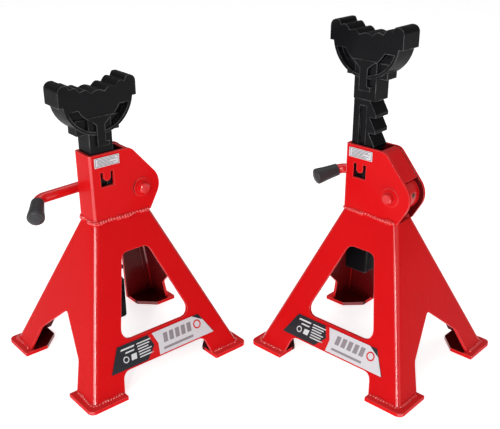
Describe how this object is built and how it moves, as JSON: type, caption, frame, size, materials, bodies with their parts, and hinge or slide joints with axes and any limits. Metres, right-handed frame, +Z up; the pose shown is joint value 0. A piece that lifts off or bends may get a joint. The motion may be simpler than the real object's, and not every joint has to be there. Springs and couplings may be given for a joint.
{
  "type": "axle jack stands",
  "caption": "Pair of ratchet axle stands: splayed sheet-metal bases, toothed sliding columns with curved saddles, and lift-to-release levers.",
  "frame": {"origin": "on the floor, midway between the two stands, under the middle of the pair's box", "axes": "+Z up, +X from the lowered stand to the raised one, -Y the side from which both fronts show"},
  "size_m": [0.5087, 0.2508, 0.3365],
  "materials": {
    "red_paint": "gloss powder coat",
    "black_paint": "semi-gloss enamel on a casting",
    "grey_grip": "satin moulded grip",
    "pin_steel": "plain steel pin",
    "silver_label": "printed film",
    "dark_label": "printed film"
  },
  "bodies": {
    "frames": {"low_base_shell": "red_paint", "low_base_rear_panel": "red_paint", "low_foot_plate_front_left": "red_paint", "low_foot_plate_front_right": "red_paint", "low_foot_plate_rear_left": "red_paint", "low_foot_plate_rear_right": "red_paint", "low_housing_channel": "red_paint", "low_housing_cover": "red_paint", "low_housing_label": "silver_label", "low_base_label": "dark_label", "high_base_shell": "red_paint", "high_base_rear_panel": "red_paint", "high_foot_plate_front_left": "red_paint", "high_foot_plate_front_right": "red_paint", "high_foot_plate_rear_left": "red_paint", "high_foot_plate_rear_right": "red_paint", "high_housing_channel": "red_paint", "high_housing_cover": "red_paint", "high_housing_label": "silver_label", "high_base_label": "dark_label"},
    "low_column": {"low_ratchet_column": "black_paint"},
    "low_lever": {"low_pawl": "red_paint", "low_handle_rod": "red_paint", "low_handle_grip": "grey_grip", "low_pawl_pin": "pin_steel"},
    "high_column": {"high_ratchet_column": "black_paint"},
    "high_lever": {"high_pawl": "red_paint", "high_handle_rod": "red_paint", "high_handle_grip": "grey_grip", "high_pawl_pin": "pin_steel"}
  },
  "joints": [
    {"name": "low_column_slide", "type": "slide", "parent": "frames", "child": "low_column", "axis": [0, 0, 1], "range_m": [0, 0.1085]},
    {"name": "high_column_slide", "type": "slide", "parent": "frames", "child": "high_column", "axis": [0, 0, 1], "range_m": [0, 0.062]},
    {"name": "low_lever_pivot", "type": "hinge", "parent": "frames", "child": "low_lever", "pos_m": [-0.11425, 0.01444, 0.178], "axis": [-0.6528, 0.7576, 0], "range_deg": [0, 25]},
    {"name": "high_lever_pivot", "type": "hinge", "parent": "frames", "child": "high_lever", "pos_m": [0.14428, -0.01453, 0.178], "axis": [0.6791, 0.7341, 0], "range_deg": [0, 25]}
  ]
}
